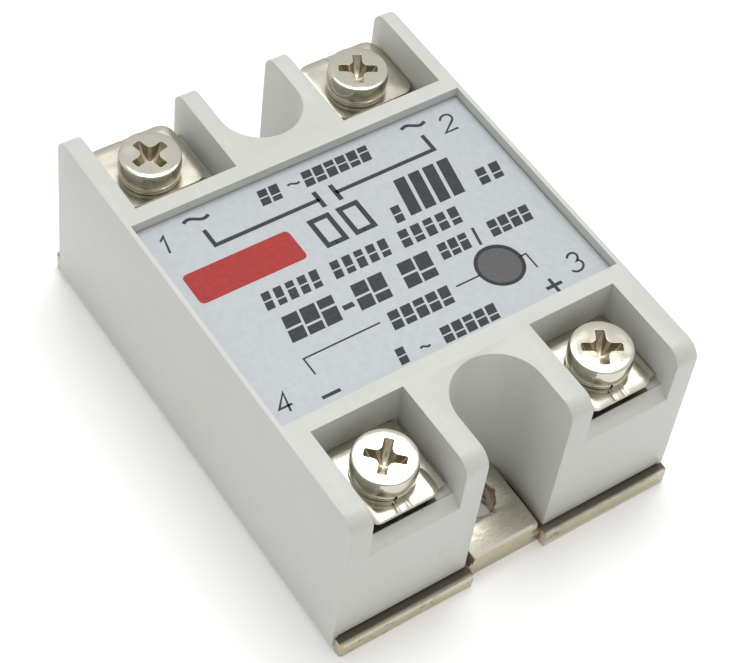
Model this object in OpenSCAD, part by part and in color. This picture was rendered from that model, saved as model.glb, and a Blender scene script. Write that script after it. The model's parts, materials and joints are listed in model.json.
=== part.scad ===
// Panel-mount solid state relay with four screw terminals.
// Frame: origin under the middle of the base plate, +Z up through the terminals,
// +Y towards the output terminals 1 and 2, -Y towards the input terminals 3 and 4.
// All sizes are in millimetres.

/* [Housing] */
// Width of the housing at its foot
body_w = 45.4; // [44.8:0.1:46.5]
// Length of the housing
body_l = 59.8; // [59.4:0.1:60.2]
// Height of the rim above the underside of the plate
body_top = 23.8; // [23.6:0.1:24.4]
// How far each side wall leans in from foot to rim
draft = 0.35; // [0:0.05:0.5]
// Thickness of the outer walls
wall = 1.8; // [1.4:0.1:1.9]
// Radius that rounds the ends of the rim
rim_r = 2; // [1:0.25:2.5]

/* [Label recess] */
// Half width of the recess in the top face
label_half = 21.8; // [21.2:0.1:21.9]
// Depth of the recess floor below the rim
label_depth = 1.55; // [1.2:0.05:1.7]
// Distance from the middle to the input edge of the recess
label_front = 16; // [15:0.1:16.2]
// Distance from the middle to the output edge of the recess
label_back = 14.5; // [14:0.1:15]
// Thickness of the printed label panel
label_t = 0.25; // [0.2:0.05:0.4]

/* [Status window] */
// Sideways place of the window
window_x = 11.1; // [9:0.1:13]
// Lengthwise place of the window
window_y = -9; // [-10.5:0.1:-7]
// Diameter of the window
window_d = 5.6; // [4.6:0.1:6.2]

/* [Base plate] */
// Length of the plate
plate_l = 62.4; // [61.6:0.1:63.2]
// Width of the plate
plate_w = 44.9; // [44:0.1:45.2]
// Thickness of the rim that shows below the housing
plate_rim = 2.3; // [2:0.1:2.35]
// Thickness of the raised middle of the plate
plate_t = 4; // [3.6:0.1:4.4]
// Distance between the two mounting holes
mount_pitch = 47.6; // [46.8:0.1:48]
// Diameter of the mounting holes
mount_d = 5; // [4.3:0.1:5.2]

/* [Mounting notches] */
// Half width of the notch at the input end
notch_in = 5.4; // [5:0.1:5.4]
// Half width of the notch at the output end
notch_out = 5.1; // [5:0.1:5.4]

/* [Terminals] */
// Sideways distance of a terminal screw from the middle
term_x = 14.1; // [13.9:0.1:14.3]
// Lengthwise distance of a terminal screw from the middle
term_y = 23.7; // [23.5:0.1:23.8]
// Height of the contact face of a terminal strip
strip_z = 18.4; // [18.2:0.1:18.6]
// Thickness of a terminal strip
strip_t = 1; // [0.8:0.1:1.2]
// Thickness of a saddle clamp
clamp_t = 1; // [0.8:0.1:1.1]
// Diameter of a screw head
head_d = 7.3; // [6.8:0.1:7.6]
// Height of a screw head
head_h = 2.3; // [2:0.1:2.5]
// Outer diameter of the screw thread
thread_d = 3.9; // [3.8:0.05:3.95]
// Pitch of the screw thread
thread_pitch = 0.7; // [0.6:0.05:0.8]

/* [Hidden] */
$fn = 64;

foot_z = plate_rim + 0.15;              // underside of the housing on the plate
lip_z = 0.6;                            // lower edge of the lips that hang beside the plate
half_foot = body_w / 2;                 // half width at the foot
half_top = half_foot - draft;           // half width at the rim
half_l = body_l / 2;
lip_in = half_foot - 0.7;               // inner face of those lips
recess_z = body_top - label_depth;      // floor of the label recess
roof_z = recess_z - 1.5;                // ceiling of the inner space
floor_z = strip_z - strip_t;            // floor of the terminal pockets
in_half = half_foot - wall - draft;     // half width of the inner space
in_front = -label_front - 0.2;          // inner space, input end
in_back = label_back + 0.2;             // inner space, output end
board_z = 10;                           // underside of the circuit board
board_t = 1.6;
clamp_z = strip_z + 0.02;               // a hair above the strip
washer_z = clamp_z + clamp_t + 0.01;
washer_t = 0.74;
head_z = washer_z + washer_t + 0.03;
shank_z = 10.7;                         // tip of the screws
nut_w = 7.2;
nut_t = 3.2;

// Terminal number: side (-1 left, 1 right), end (-1 input, 1 output), turn of the cross slot
side = [0, -1, 1, 1, -1];
end = [0, 1, 1, -1, -1];
slot_turn = [0, 14, 60, 60, 46];
// Turn of the split in each spring washer
split_turn = [0, 200, 235, 257, 258];

// Outer edge of each pocket
pocket_out = [0, 20.1, 20.6, 19.65, 19.65];

// Inner edge and back wall of the pockets, for the input and the output end
function pocket_in(e) = e < 0 ? 8.2 : 7.2;
function pocket_wall(e) = e < 0 ? 18 : 16.5;
// Half width of a notch and the centre of its round end, for the input and the output end
function notch_r(e) = e < 0 ? notch_in : notch_out;
function notch_y(e) = e < 0 ? -24.05 : 23.3;

// Places its children on the axis of terminal n, with the wire entry towards local -Y
module at_terminal(n) {
  translate([side[n] * term_x, end[n] * term_y, 0]) rotate([0, 0, end[n] > 0 ? 180 : 0]) children();
}

// Box given by its two corners
module span(a, b) {
  translate(a) cube(b - a);
}

// Rectangle with round corners
module rounded_rect(x0, x1, y0, y1, r) {
  translate([x0 + r, y0]) square([x1 - x0 - 2 * r, y1 - y0]);
  translate([x0, y0 + r]) square([x1 - x0, y1 - y0 - 2 * r]);
  for (x = [x0 + r, x1 - r], y = [y0 + r, y1 - r]) translate([x, y]) circle(r = r);
}

// Prism along X from a profile drawn in the YZ plane
module along_x(x0, x1) {
  translate([x0, 0, 0]) rotate([90, 0, 90]) linear_extrude(height = x1 - x0) children();
}

// U shaped outline of a mounting notch, grown by g, open past the end of the housing
module notch_outline(e, g) {
  r = notch_r(e) + g;
  translate([0, notch_y(e)]) circle(r = r);
  translate([-r, e < 0 ? -40 : notch_y(e)]) square([2 * r, 40 - abs(notch_y(e))]);
}

// Outside of the housing: leaning sides, rim ends rounded in side view
module outer_block() {
  intersection() {
    translate([0, half_l, 0]) rotate([90, 0, 0]) linear_extrude(height = body_l)
      polygon([[-half_foot, lip_z], [half_foot, lip_z], [half_top, body_top], [-half_top, body_top]]);
    along_x(-half_foot - 1, half_foot + 1) {
      translate([-half_l, lip_z]) square([body_l, body_top - rim_r - lip_z]);
      translate([rim_r - half_l, lip_z]) square([body_l - 2 * rim_r, body_top - lip_z]);
      for (s = [-1, 1]) translate([s * (half_l - rim_r), body_top - rim_r]) circle(r = rim_r);
    }
  }
}

// Space of one terminal pocket, with the sill that slopes down to the wire entry
module pocket(n) {
  e = end[n];
  w = pocket_out[n] - pocket_in(e);
  x0 = side[n] > 0 ? pocket_in(e) : -pocket_out[n];
  wall_y = e * pocket_wall(e);
  along_x(x0, x0 + w)
    polygon([[wall_y, body_top + 1], [wall_y, floor_z], [e * 28.3, floor_z], [e * 28.5, floor_z + 0.2],
      [e * 32, floor_z - 2.8], [e * 32, body_top + 1]]);
}

// Room under a pocket for the nut and the tip of the screw
module nut_room(n) {
  at_terminal(n) {
    span([-nut_w / 2 - 0.05, -nut_w / 2 - 0.05, floor_z - nut_t - 0.1], [nut_w / 2 + 0.05, nut_w / 2 + 0.05, floor_z + 0.5]);
    translate([0, 0, shank_z - 0.6]) cylinder(d = thread_d + 0.9, h = 10);
  }
}

// Narrow well in front of the nut, behind the sill, that takes the end of a long wire
module wire_well(n) {
  at_terminal(n) span([-4.25, -4.62, floor_z - 3.2], [3.9, -3.55, floor_z + 0.5]);
}

// Solid pillar that carries the nut
module nut_pillar(n) {
  at_terminal(n) span([-5.2, -5.6, shank_z - 1.8], [5.2, 7.3, floor_z - 0.6]);
}

module inner_space() {
  difference() {
    union() {
      span([-in_half, in_front, foot_z - 1], [in_half, in_back, roof_z]);
      for (n = [1 : 4]) {
        e = end[n];
        y0 = e < 0 ? -half_l + wall : in_back - 1;
        y1 = e < 0 ? in_front + 1 : half_l - wall;
        x0 = side[n] < 0 ? -in_half : notch_r(e) + wall;
        x1 = side[n] < 0 ? -notch_r(e) - wall : in_half;
        span([x0, y0, foot_z - 1], [x1, y1, floor_z - 1.7]);
      }
    }
    for (n = [1 : 4]) nut_pillar(n);
    for (e = [-1, 1]) linear_extrude(height = 40) notch_outline(e, wall);
  }
}

// Slot that lets a terminal strip through the back wall of its pocket
module strip_slot(n) {
  e = end[n];
  at_terminal(n) span([-4.8, term_y - pocket_wall(e) - 0.5, floor_z], [4.8, term_y - 14, strip_z + 0.05]);
}

module housing() color("#d2d2ce") difference() {
  outer_block();
  span([-lip_in, -half_l - 1, -1], [lip_in, half_l + 1, foot_z]);
  inner_space();
  for (n = [1 : 4]) {
    pocket(n);
    nut_room(n);
    wire_well(n);
    strip_slot(n);
  }
  for (e = [-1, 1]) translate([0, 0, -1]) linear_extrude(height = 40) notch_outline(e, 0);
  span([-label_half, -label_front, recess_z], [label_half, label_back, body_top + 1]);
  translate([window_x, window_y, roof_z - 1]) cylinder(d = window_d + 0.1, h = 5);
}

// Island of the plate that fills a notch, with the front end sloping down
module plate_tab(e) {
  intersection() {
    along_x(-4.4, 4.4)
      polygon([[e * 18.4, 0], [e * 30.1, 0], [e * 30.1, 3.4], [e * 29.8, 3.7], [e * 26.8, plate_t], [e * 18.4, plate_t]]);
    linear_extrude(height = 10) notch_outline(e, -0.2);
  }
}

module base_plate() color("#a9a793") difference() {
  union() {
    difference() {
      linear_extrude(height = plate_rim) rounded_rect(-plate_w / 2, plate_w / 2, -plate_l / 2, plate_l / 2, 0.4);
      for (s = [-1, 1]) span([s * lip_in - (s > 0 ? 0.05 : 1), -half_l - 0.1, -1], [s * lip_in + (s > 0 ? 1 : 0.05), half_l + 0.1, 5]);
      for (s = [-1, 1]) span([-5, s * 31.6 - 1.5, -1], [5, s * 31.6 + 1.5, 5]);
      for (s = [-1, 1], e = [-1, 1]) translate([s * 4.9, e * 29.5, -1]) cylinder(r = 0.55, h = 5);
    }
    span([-in_half + 0.25, in_front + 0.2, 0], [in_half - 0.25, in_back - 0.2, plate_t]);
    for (e = [-1, 1]) plate_tab(e);
  }
  for (e = [-1, 1]) translate([0, e * mount_pitch / 2, -1]) cylinder(d = mount_d, h = 10);
}

// Thin adhesive ring that bonds the foot of the housing to the plate
module bond_seal() color("#3b3a38") difference() {
  span([-lip_in + 0.1, -half_l + 0.35, plate_rim], [lip_in - 0.1, half_l - 0.35, foot_z]);
  span([-in_half, in_front, 0], [in_half, in_back, 5]);
  for (n = [1 : 4]) {
    e = end[n];
    x0 = side[n] < 0 ? -in_half : notch_r(e) + wall;
    x1 = side[n] < 0 ? -notch_r(e) - wall : in_half;
    span([x0, e < 0 ? -half_l + wall : in_back - 1, 0], [x1, e < 0 ? in_front + 1 : half_l - wall, 5]);
  }
  for (e = [-1, 1]) translate([0, 0, -1]) linear_extrude(height = 10) notch_outline(e, 0.35);
}

module label_panel() color("#ccd1d8") difference() {
  span([-label_half + 0.12, -label_front + 0.1, recess_z], [label_half - 0.12, label_back - 0.1, recess_z + label_t]);
  translate([window_x, window_y, 0]) cylinder(d = window_d + 0.1, h = 40);
}

module status_window() color("#55565a") translate([window_x, window_y, recess_z - 1.2])
  cylinder(d = window_d, h = 1.18 + label_t);

module status_led() color("#b03a34") translate([window_x, window_y, board_z + board_t]) {
  for (s = [-1, 1]) translate([s * 1.27, 0, 0]) cylinder(d = 0.5, h = 4.2);
  translate([0, 0, 4.2]) cylinder(d = 3.8, h = 0.9);
  translate([0, 0, 5.1]) cylinder(d = 3, h = 1.8);
  translate([0, 0, 6.9]) intersection() {
    sphere(d = 3);
    cylinder(d = 4, h = 4);
  }
}

module circuit_board() color("#2f6b46") difference() {
  span([-17.5, -15.9, board_z], [17.5, 11.6, board_z + board_t]);
  for (s = [-1, 1]) span([s * term_x - 2.2, -15.4, 0], [s * term_x + 2.2, -13.9, 30]);
}

// Epoxy fill between the plate and the circuit board
module potting_compound() color("#3a3a3c") difference() {
  span([-in_half + 0.4, in_front + 0.4, plate_t], [in_half - 0.4, in_back - 0.2, board_z]);
  insulator_shape();
  triac_shape();
  for (n = [1, 2]) {
    bus_shape(n);
    strip_shape(n);
  }
  for (n = [3, 4]) strip_shape(n);
}

module insulator_shape() span([-10, -8, plate_t], [10, 8, plate_t + 0.7]);

module triac_shape() span([-7.5, -6.5, plate_t + 0.7], [7.5, 6.5, plate_t + 3]);

// Copper strap from the triac to the riser of an output strip
module bus_shape(n) {
  z = plate_t + 3;
  s = side[n];
  translate([0, 0, z]) linear_extrude(height = 0.8)
    polygon([[s * 1.2, 0], [s * 6.5, 0], [s * 16.1, 10.4], [s * 16.1, 12.4], [s * 12.1, 12.4], [s * 1.2, 3.4]]);
}

module ceramic_insulator() color("#e8e4da") insulator_shape();

module power_triac() color("#2a2a2c") triac_shape();

module bus_lead(n) color("#b87347") bus_shape(n);

// Six legged package of the optocoupler
module optocoupler() color("#e3e1d8") translate([2, -3, board_z + board_t]) {
  span([-3.2, -4.4, 0.5], [3.2, 4.4, 4]);
  for (s = [-1, 1], i = [-1 : 1]) span([s * 3.6 - 0.4, i * 2.54 - 0.3, 0], [s * 3.6 + 0.4, i * 2.54 + 0.3, 2]);
}

module snubber_capacitor() color("#c9a23a") translate([-9, 7.5, board_z + board_t])
  span([-6.5, -2.6, 0], [6.5, 2.6, 7.6]);

// Body of a resistor or diode lying along X with its two bent wires
module axial_part(len, d, rise) {
  translate([-len / 2, 0, rise]) rotate([0, 90, 0]) cylinder(d = d, h = len);
  for (s = [-1, 1]) {
    translate([s * (len / 2 + 0.9), 0, 0]) cylinder(d = 0.6, h = rise + 0.3);
    translate([s > 0 ? len / 2 : -len / 2 - 0.9, 0, rise]) rotate([0, 90, 0]) cylinder(d = 0.5, h = 0.9);
  }
}

module snubber_resistor() color("#7d8f9a") translate([8, 8.5, board_z + board_t]) axial_part(10, 3.6, 2.2);

module gate_resistor() color("#c4b08a") translate([11, 3.4, board_z + board_t]) axial_part(6, 2.2, 1.5);

module input_resistors() color("#c4b08a") {
  translate([-9, -5, board_z + board_t]) axial_part(6.3, 2.3, 1.6);
  translate([-9, -9.2, board_z + board_t]) axial_part(6.3, 2.3, 1.6);
}

module input_diode() color("#8a3b2c") translate([-7.5, -0.6, board_z + board_t]) axial_part(4.2, 2, 1.4);

module input_transistor() color("#2a2a2c") translate([2, -12, board_z + board_t]) {
  intersection() {
    translate([0, 0, 2.4]) cylinder(d = 4.8, h = 4.6);
    span([-3, -1.4, 0], [3, 3, 9]);
  }
  for (i = [-1 : 1]) translate([i * 1.27, 0.2, 0]) cylinder(d = 0.5, h = 2.4);
}

// Terminal strip: contact tongue in the pocket, neck through the wall, riser to the board or the strap
module strip_shape(n) {
  e = end[n];
  reach = e < 0 ? 14.1 : 12.4;
  riser_z = e < 0 ? board_z : plate_t + 3;
  wide = e < 0 ? 5.4 : 5.6;
  at_terminal(n) difference() {
    union() {
      span([-wide, -3.8, floor_z], [wide, term_y - pocket_wall(e) - 0.1, strip_z]);
      span([-4.7, term_y - pocket_wall(e) - 0.2, floor_z], [4.7, term_y - reach, strip_z]);
      span([-2, term_y - reach - 1, riser_z], [2, term_y - reach, strip_z]);
    }
    translate([0, 0, floor_z - 1]) cylinder(d = thread_d + 0.6, h = 3);
  }
}

module terminal_strip(n) color("#c9c6b4") strip_shape(n);

// Square nut held in the floor of the pocket
module terminal_nut(n) color("#b9b6a6") at_terminal(n) difference() {
  span([-nut_w / 2, -nut_w / 2, floor_z - nut_t], [nut_w / 2, nut_w / 2, floor_z]);
  translate([0, 0, floor_z - nut_t - 1]) cylinder(d = thread_d + 0.15, h = nut_t + 2);
}

// Outline of a wide saddle clamp, for the output end; its front edge reaches the end of the housing
module wide_clamp_outline(n) {
  rounded_rect(n == 1 ? -5.7 : -6.2, n == 1 ? 5.4 : 4.9, -6, 3.7, 1.8);
}

// Outline of a narrow saddle clamp, for the input end: one inner corner is cut away, all the others are round
module clamp_outline() {
  r = 1.2;
  translate([-4.3 + r, -4.8]) square([8.6 - 2 * r, 3.8]);
  translate([-4.3, -4.8 + r]) square([8.6, 3.8 - 2 * r]);
  for (x = [-4.3 + r, 4.3 - r], y = [-4.8 + r, -1 - r]) translate([x, y]) circle(r = r);
  translate([-4.3, -3]) square([7.1, 6.1]);
  translate([-4.3 + r, -3]) square([7.1 - 2 * r, 7.3]);
  for (x = [-4.3 + r, 2.8 - r]) translate([x, 4.3 - r]) circle(r = r);
}

module saddle_clamp(n) color("#cfccba") at_terminal(n) difference() {
  front = end[n] < 0 ? -4.8 : -6;
  translate([0, 0, clamp_z]) linear_extrude(height = clamp_t) {
    if (end[n] < 0) clamp_outline();
    else wide_clamp_outline(n);
  }
  translate([0, 0, clamp_z - 1]) cylinder(d = thread_d + 0.15, h = 4);
  // shallow channel pressed into the wire side
  span([-1.1, front - 1, clamp_z + clamp_t - 0.18], [0.3, front + 1.2, clamp_z + clamp_t + 1]);
  // undercut that gives the thin front lip
  span([-7, front - 1, clamp_z - 1], [7, front + 0.8, clamp_z + 0.35]);
}

// Split spring washer
module lock_washer(n) color("#bdbaa8") at_terminal(n) translate([0, 0, washer_z]) difference() {
  cylinder(d = 7, h = washer_t);
  translate([0, 0, -1]) cylinder(d = thread_d + 0.3, h = 4);
  rotate([0, 0, split_turn[n]]) translate([0, -0.25, -1]) cube([6, 0.5, 4]);
}

// Cross recess: two crossed slots with a wider middle
module cross_recess(depth) {
  for (a = [0, 90]) rotate([0, 0, a]) {
    translate([-2.35, -0.56, -depth]) cube([4.7, 1.12, depth + 1]);
  }
  translate([0, 0, -depth - 0.5]) cylinder(d = 1.9, h = depth + 1.5);
}

// Half section of the screw: cheese head with eased edges, ring grooves for the thread
module screw_profile() {
  r = thread_d / 2;
  turns = floor((head_z - 1 - shank_z - 0.5) / thread_pitch);
  grooves = [for (i = [0 : turns - 1], p = [[0.12, r], [0.35, r - 0.3], [0.58, r]])
    [p[1], shank_z + 0.5 + (i + p[0]) * thread_pitch]];
  polygon(concat([[0, shank_z], [r - 0.4, shank_z]], [[r, shank_z + 0.4]], grooves,
    [[r, head_z - 0.2], [r, head_z], [head_d / 2 - 0.25, head_z], [head_d / 2, head_z + 0.25],
      [head_d / 2, head_z + head_h - 0.55], [head_d / 2 - 0.12, head_z + head_h - 0.2],
      [head_d / 2 - 0.37, head_z + head_h], [0, head_z + head_h]]));
}

module terminal_screw(n) color("#cdc9b8") at_terminal(n) difference() {
  rotate_extrude() screw_profile();
  translate([0, 0, head_z + head_h]) rotate([0, 0, slot_turn[n]]) cross_recess(1.9);
}

housing();
base_plate();
bond_seal();
label_panel();
status_window();
status_led();
circuit_board();
potting_compound();
ceramic_insulator();
power_triac();
bus_lead(1);  // bus_lead_1
bus_lead(2);  // bus_lead_2
optocoupler();
snubber_capacitor();
snubber_resistor();
gate_resistor();
input_resistors();
input_diode();
input_transistor();
terminal_strip(1);  // terminal_strip_1
terminal_strip(2);  // terminal_strip_2
terminal_strip(3);  // terminal_strip_3
terminal_strip(4);  // terminal_strip_4
terminal_nut(1);  // terminal_nut_1
terminal_nut(2);  // terminal_nut_2
terminal_nut(3);  // terminal_nut_3
terminal_nut(4);  // terminal_nut_4
saddle_clamp(1);  // saddle_clamp_1
saddle_clamp(2);  // saddle_clamp_2
saddle_clamp(3);  // saddle_clamp_3
saddle_clamp(4);  // saddle_clamp_4
lock_washer(1);  // lock_washer_1
lock_washer(2);  // lock_washer_2
lock_washer(3);  // lock_washer_3
lock_washer(4);  // lock_washer_4
terminal_screw(1);  // terminal_screw_1
terminal_screw(2);  // terminal_screw_2
terminal_screw(3);  // terminal_screw_3
terminal_screw(4);  // terminal_screw_4
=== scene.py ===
"""Looks of a panel-mount solid state relay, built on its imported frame.

Each sub-assembly is a class that holds its own sizes in millimetres. It builds what the frame
leaves plain, dresses the frame's own nodes and hands every piece to the body that carries it.
"""

from __future__ import annotations

import json
import logging
import math
from dataclasses import dataclass
from enum import Enum
from typing import ClassVar, Iterable, Sequence

import bmesh
import bpy
from mathutils import Matrix, Vector

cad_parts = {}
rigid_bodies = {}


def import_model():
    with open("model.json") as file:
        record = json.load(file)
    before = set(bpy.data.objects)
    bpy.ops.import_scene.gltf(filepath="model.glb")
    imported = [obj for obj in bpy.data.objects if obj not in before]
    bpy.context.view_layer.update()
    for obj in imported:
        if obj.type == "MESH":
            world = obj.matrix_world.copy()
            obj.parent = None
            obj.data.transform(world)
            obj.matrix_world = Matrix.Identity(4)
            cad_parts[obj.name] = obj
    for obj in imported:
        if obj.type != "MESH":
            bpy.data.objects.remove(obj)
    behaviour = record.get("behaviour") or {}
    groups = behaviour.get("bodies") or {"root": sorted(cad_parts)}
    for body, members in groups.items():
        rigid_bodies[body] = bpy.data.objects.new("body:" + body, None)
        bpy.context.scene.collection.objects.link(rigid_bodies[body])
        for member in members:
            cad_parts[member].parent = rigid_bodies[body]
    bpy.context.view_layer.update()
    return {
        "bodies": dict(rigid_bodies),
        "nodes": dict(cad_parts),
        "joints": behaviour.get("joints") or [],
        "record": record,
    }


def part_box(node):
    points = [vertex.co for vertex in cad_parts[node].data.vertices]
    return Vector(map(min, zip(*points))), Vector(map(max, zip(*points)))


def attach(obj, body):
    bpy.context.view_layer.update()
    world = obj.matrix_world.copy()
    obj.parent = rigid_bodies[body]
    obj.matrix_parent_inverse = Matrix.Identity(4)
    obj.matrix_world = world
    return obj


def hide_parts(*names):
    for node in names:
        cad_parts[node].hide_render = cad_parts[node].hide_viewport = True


LOG = logging.getLogger("relay")
MM = 0.001
TURN = 2 * math.pi
Point2 = tuple[float, float]
Colour = tuple[float, float, float, float]
Inputs = dict[str, object]
Rows = tuple[tuple[float, ...], ...]
Piece = bpy.types.Object
Nodes = dict[str, bpy.types.Object]
Mesh = bmesh.types.BMesh
Corners = list[bmesh.types.BMVert]
Tree = bpy.types.NodeTree
Socket = bpy.types.NodeSocket


class End(Enum):
    """The two ends of the relay; the value is the sign of Y."""

    INPUT = -1
    OUTPUT = 1


class Side(Enum):
    """The two sides of the relay; the value is the sign of X."""

    LEFT = -1
    RIGHT = 1


def linear(code: str) -> Colour:
    """Turn an sRGB hex colour into linear light.

    Args:
        code: Six hex digits, such as "D3D3CE".

    Returns:
        Red, green, blue and an alpha of 1.
    """
    parts = [int(code[i : i + 2], 16) / 255 for i in (0, 2, 4)]
    r, g, b = (c / 12.92 if c <= 0.04045 else ((c + 0.055) / 1.055) ** 2.4 for c in parts)
    return (r, g, b, 1.0)


def per_m(size_mm: float) -> float:
    """Texture scale that gives features of about size_mm when the coordinates are in metres."""
    return 1 / (size_mm * MM)


def add_node(tree: Tree, kind: str, values: Inputs | Sequence[object] = (), **settings: object) -> bpy.types.Node:
    """Add one shader node with its settings and links.

    Args:
        tree: The node tree it goes into.
        kind: Blender's name of the node type, without its "ShaderNode".
        values: What goes into its inputs, by name, or in order of the inputs in use. A socket is
            linked, and a node stands for its first output in use.
        **settings: Attributes of the node, such as operation="MULTIPLY".

    Returns:
        The new node.
    """
    node = tree.nodes.new(f"ShaderNode{kind}")
    for name, value in settings.items():
        setattr(node, name, value)
    if isinstance(values, dict):
        pairs = [(node.inputs[name], value) for name, value in values.items()]
    else:
        pairs = list(zip([socket for socket in node.inputs if socket.enabled], values))
    for socket, value in pairs:
        if isinstance(value, bpy.types.Node):
            value = next(output for output in value.outputs if output.enabled)
        if isinstance(value, Socket):
            tree.links.new(value, socket)
        else:
            socket.default_value = value
    return node


def ramp_stops(node: bpy.types.Node, stops: Sequence[tuple[float, Colour]]) -> None:
    """Set the stops of a colour ramp.

    Args:
        node: The colour ramp.
        stops: Position and colour of each stop, in order.
    """
    elements = node.color_ramp.elements
    while len(elements) > 1:
        elements.remove(elements[-1])
    elements[0].position, elements[0].color = stops[0]
    for position, colour in stops[1:]:
        elements.new(position).color = colour


@dataclass(frozen=True)
class Finish:
    """A surface finish. Each kind paints its own node tree once and shares the material."""

    name: str

    def material(self) -> bpy.types.Material:
        """Paint the finish the first time it is asked for.

        Returns:
            The finish's material.
        """
        made = bpy.data.materials.get(self.name)
        if made is None:
            made = bpy.data.materials.new(self.name)
            made.use_nodes = True
            tree = made.node_tree
            tree.nodes.clear()
            place = add_node(tree, "TexCoord").outputs["Object"]
            shader = add_node(tree, "BsdfPrincipled", self.paint(tree, place))
            add_node(tree, "OutputMaterial", [shader])
        return made

    def paint(self, tree: Tree, place: Socket) -> Inputs:
        """Build the finish's own pattern.

        Args:
            tree: The material's node tree.
            place: The piece's own coordinates.

        Returns:
            What goes into the shader, by input.
        """
        raise NotImplementedError


@dataclass(frozen=True)
class MouldedPBT(Finish):
    """Light grey PBT, injection moulded in a spark-eroded tool.

    The tool gives it a soft satin grain, flow gives it faint cloudy patches, and handling leaves
    a few pale scuffs and the odd dark speck.
    """

    base: str = "D0D2CD"
    cloud: str = "C9CBC5"
    scuff: str = "E4E3DE"
    speck: str = "6E675C"
    roughness: float = 0.42
    ior: float = 1.55
    grain_mm: float = 0.22  # real spark grain is near 0.05 mm, drawn coarser so that it shows
    cloud_mm: float = 9.0
    scuff_mm: float = 1.6
    speck_mm: float = 2.4
    sink_mm: float = 4.0

    def paint(self, tree: Tree, place: Socket) -> Inputs:
        """Clouded base, scuffs, specks and a fine moulded grain.

        Args:
            tree: The material's node tree.
            place: The piece's own coordinates.

        Returns:
            What goes into the shader, by input.
        """
        cloud = add_node(tree, "TexNoise", {"Vector": place, "Scale": per_m(self.cloud_mm), "Detail": 3.0})
        clouded = add_node(tree, "Mix", [cloud, linear(self.base), linear(self.cloud)], data_type="RGBA")
        drag = add_node(tree, "Mapping", {"Vector": place, "Scale": (1.0, 0.35, 1.6), "Rotation": (0.3, 0.2, 0.6)})
        scuffs = add_node(tree, "TexNoise", {"Vector": drag, "Scale": per_m(self.scuff_mm), "Detail": 6.0})
        rubbed_and_highlight = add_node(tree, "MapRange", [scuffs, 0.64, 0.74, 0.0, 0.35])
        scuffed = add_node(tree, "Mix", [rubbed_and_highlight, clouded, linear(self.scuff)], data_type="RGBA")
        cells = add_node(tree, "TexVoronoi", {"Vector": place, "Scale": per_m(self.speck_mm)})
        dot = add_node(tree, "MapRange", [cells, 0.035, 0.075, 1.0, 0.0])
        lot = add_node(tree, "SeparateColor", [cells.outputs["Color"]])
        chosen = add_node(tree, "Math", [lot, 0.86], operation="GREATER_THAN")
        specked = add_node(tree, "Math", [dot, chosen], operation="MULTIPLY")
        colour = add_node(tree, "Mix", [specked, scuffed, linear(self.speck)], data_type="RGBA")
        rough = add_node(tree, "MapRange", [scuffs, 0.3, 0.75, self.roughness - 0.05, self.roughness + 0.1])
        grain = add_node(tree, "TexNoise", {"Vector": place, "Scale": per_m(self.grain_mm), "Detail": 2.0})
        sink = add_node(tree, "TexNoise", {"Vector": place, "Scale": per_m(self.sink_mm), "Detail": 1.0})
        soft = add_node(tree, "Bump", {"Strength": 0.12, "Distance": 0.1 * MM, "Height": sink})
        bump = add_node(tree, "Bump", {"Strength": 0.1, "Distance": 0.02 * MM, "Height": grain, "Normal": soft})
        return {"Base Color": colour, "Roughness": rough, "IOR": self.ior, "Normal": bump}


@dataclass(frozen=True)
class MattFoil(Finish):
    """Metallised polyester film with a matt overlay, die cut and pressed on.

    It reads as a pale cool silver with a fine orange-peel from the adhesive below.
    """

    base: str = "BDC3C7"
    shade: str = "B3B9BD"
    roughness: float = 0.48
    metallic: float = 0.12
    peel_mm: float = 0.55
    mottle_mm: float = 0.9

    def paint(self, tree: Tree, place: Socket) -> Inputs:
        """Mottled silver with a dimpled surface.

        Args:
            tree: The material's node tree.
            place: The piece's own coordinates.

        Returns:
            What goes into the shader, by input.
        """
        cells = {"Vector": place, "Scale": per_m(self.mottle_mm), "Detail": 5.0, "Roughness": 0.65}
        mottle = add_node(tree, "TexNoise", cells)
        spread = add_node(tree, "MapRange", [mottle, 0.3, 0.7])
        colour = add_node(tree, "Mix", [spread, linear(self.base), linear(self.shade)], data_type="RGBA")
        peel = add_node(tree, "TexNoise", {"Vector": place, "Scale": per_m(self.peel_mm), "Detail": 3.0})
        bump = add_node(tree, "Bump", {"Strength": 0.22, "Distance": 0.05 * MM, "Height": peel})
        return {"Base Color": colour, "Metallic": self.metallic, "Roughness": self.roughness, "Normal": bump}


@dataclass(frozen=True)
class ScreenInk(Finish):
    """Screen printed ink, a film a few hundredths of a millimetre thick with soft density changes."""

    base: str = "25272B"
    thin: str = "34373B"
    roughness: float = 0.62
    mesh_mm: float = 0.4  # density changes left by the screen, drawn coarser than the real mesh

    def paint(self, tree: Tree, place: Socket) -> Inputs:
        """Ink that is a little thinner in places.

        Args:
            tree: The material's node tree.
            place: The piece's own coordinates.

        Returns:
            What goes into the shader, by input.
        """
        noise = add_node(tree, "TexNoise", {"Vector": place, "Scale": per_m(self.mesh_mm), "Detail": 4.0})
        spread = add_node(tree, "MapRange", [noise, 0.35, 0.75])
        colour = add_node(tree, "Mix", [spread, linear(self.base), linear(self.thin)], data_type="RGBA")
        return {"Base Color": colour, "Roughness": self.roughness}


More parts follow.
